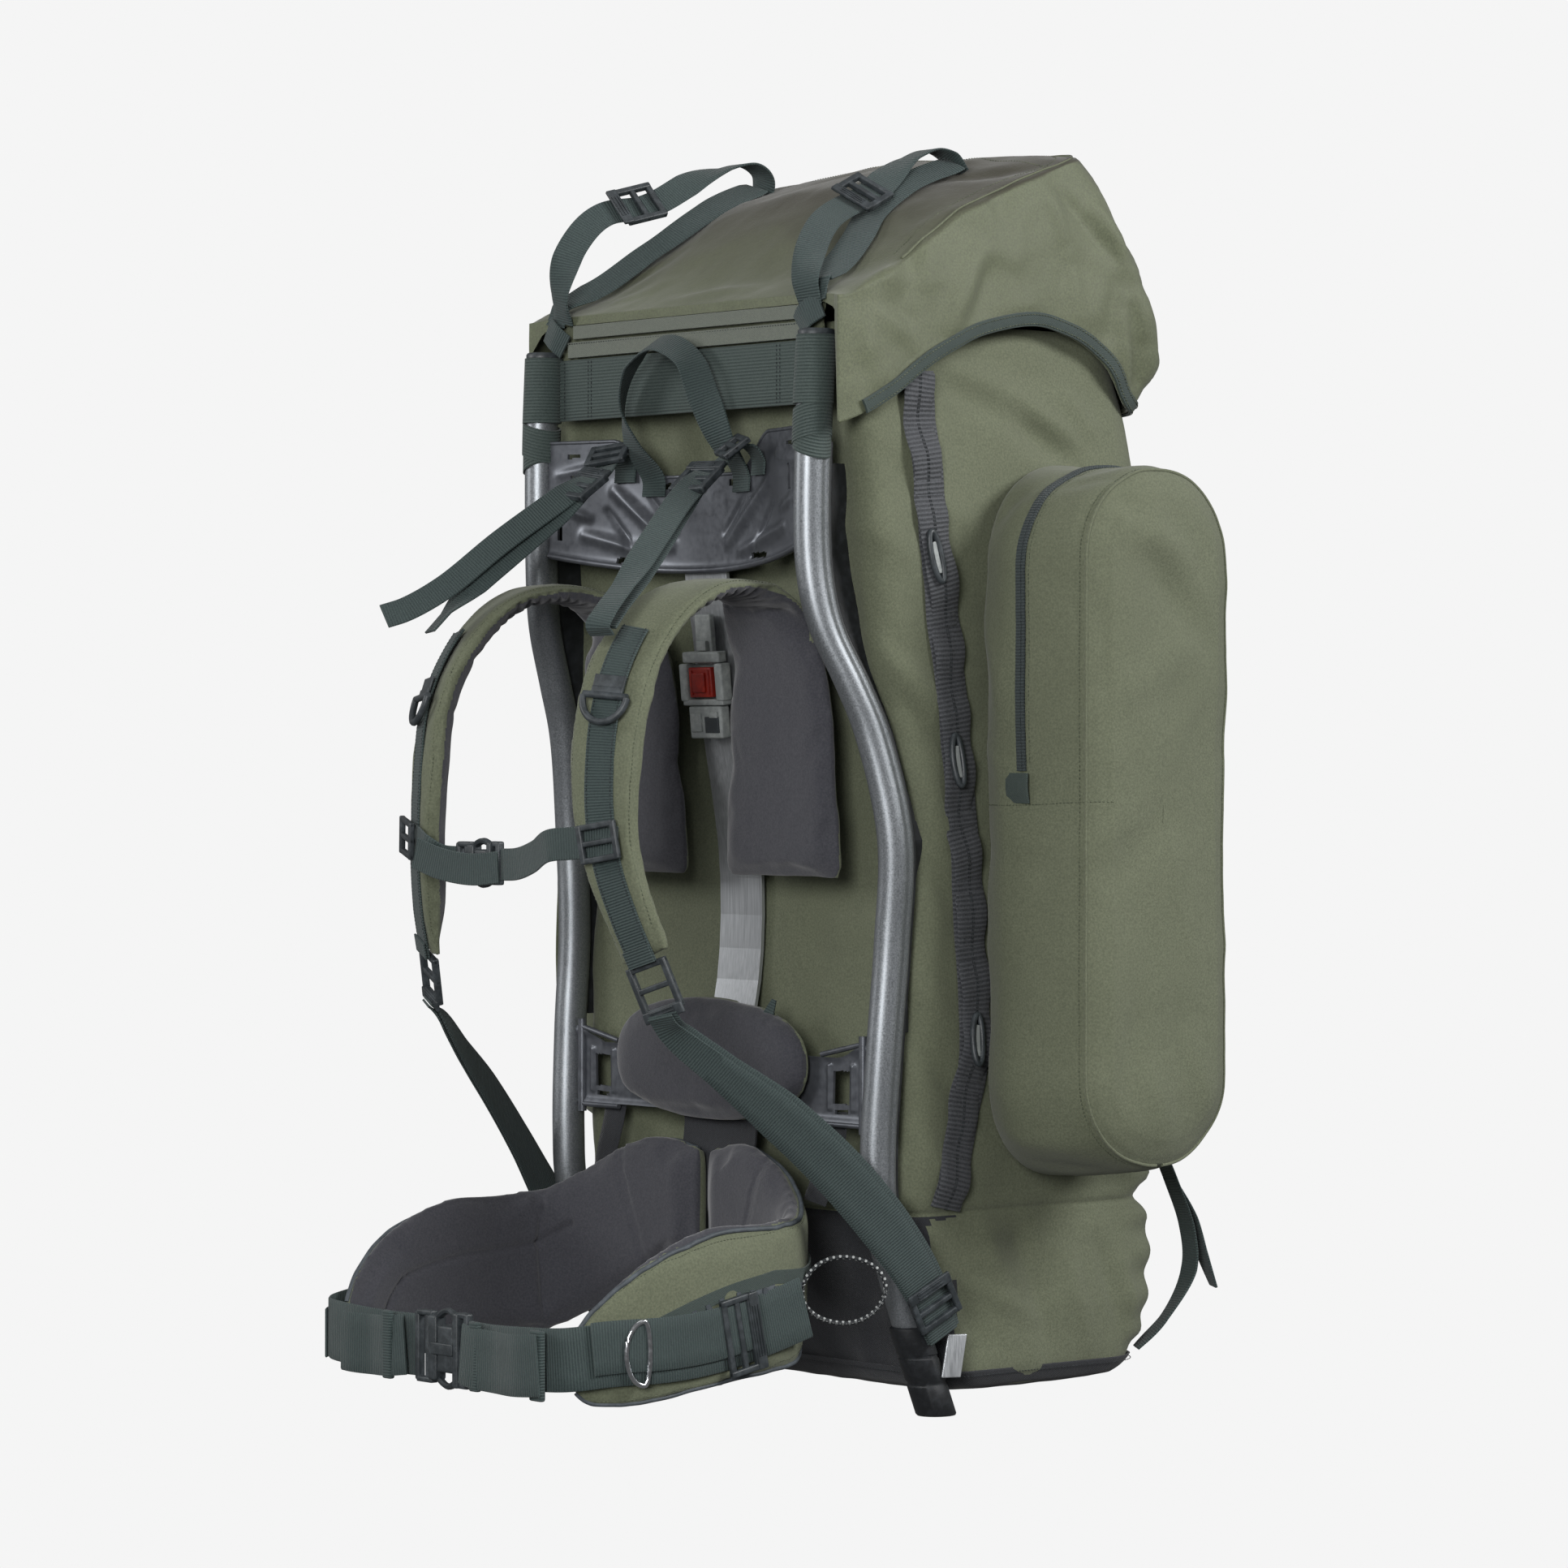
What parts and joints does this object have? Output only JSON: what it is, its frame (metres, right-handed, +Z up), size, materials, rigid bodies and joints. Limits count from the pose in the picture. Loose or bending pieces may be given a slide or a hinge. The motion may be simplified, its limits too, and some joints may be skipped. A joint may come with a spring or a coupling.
{
  "type": "external frame backpack",
  "caption": "Tall external frame backpack standing on its feet: bent tube frame, hooded cloth bag, side pockets, padded shoulder straps and hip belt.",
  "frame": {"origin": "middle of the bounding box's underside, on the floor the pack stands on", "axes": "+Z up; -Y towards the shoulder straps and hip belt, +Y towards the rear of the bag; +X to the right of someone facing the harness side"},
  "size_m": [0.68, 0.6102, 0.9983],
  "materials": {
    "olive_cloth": "matt",
    "black_cloth": "coarse woven",
    "webbing": "woven",
    "dark_webbing": "woven",
    "pad_cloth": "matt",
    "shock_cord": "braided",
    "hammered_paint": "hammered",
    "pressed_steel": "satin",
    "bare_aluminium": "satin",
    "black_plastic": "matt",
    "grey_plastic": "fine texture",
    "red_plastic": "satin",
    "chrome": "polished"
  },
  "bodies": {
    "pack": {"adjuster_housing": "grey_plastic", "bag_base": "black_cloth", "bag_body": "olive_cloth", "belt_lock_left": "black_plastic", "belt_lock_right": "black_plastic", "belt_ring": "chrome", "belt_tab": "black_cloth", "belt_wing_left": "olive_cloth", "belt_wing_right": "olive_cloth", "chest_buckle": "black_plastic", "chest_slider_left": "black_plastic", "chest_slider_right": "black_plastic", "chest_strap_left": "webbing", "chest_strap_right": "webbing", "cord_loop": "shock_cord", "d_ring_left": "black_plastic", "d_ring_right": "black_plastic", "daisy_chain_left": "dark_webbing", "daisy_chain_right": "dark_webbing", "foot_sleeve_left": "black_plastic", "foot_sleeve_right": "black_plastic", "harness_pad_left": "pad_cloth", "harness_pad_right": "pad_cloth", "haul_loop": "webbing", "keder_strip_left": "black_cloth", "keder_strip_right": "black_cloth", "lid": "olive_cloth", "lid_buckle_left": "black_plastic", "lid_buckle_right": "black_plastic", "lid_hem": "webbing", "lid_strap_left": "webbing", "lid_strap_right": "webbing", "lifter_buckle_left": "black_plastic", "lifter_buckle_right": "black_plastic", "load_lifter_left": "webbing", "load_lifter_right": "webbing", "lower_strap_left": "webbing", "lower_strap_right": "webbing", "lumbar_pad": "pad_cloth", "lumbar_plate": "pressed_steel", "rear_strap_left": "webbing", "rear_strap_right": "webbing", "shoulder_web_left": "webbing", "shoulder_web_right": "webbing", "side_pocket_left": "olive_cloth", "side_pocket_right": "olive_cloth", "side_tube_left": "hammered_paint", "side_tube_right": "hammered_paint", "stay_bar": "bare_aluminium", "strap_lock_left": "black_plastic", "strap_lock_right": "black_plastic", "top_band": "webbing", "tube_cap_left": "black_plastic", "tube_cap_right": "black_plastic", "waist_buckle": "black_plastic", "waist_web_left": "webbing", "waist_web_right": "webbing", "yoke_bolt": "chrome", "yoke_plate": "pressed_steel"},
    "latch": {"adjuster_latch": "red_plastic"}
  },
  "joints": [
    {"name": "latch_slide", "type": "slide", "parent": "pack", "child": "latch", "axis": [1, 0, 0], "range_m": [0, 0.004]}
  ]
}
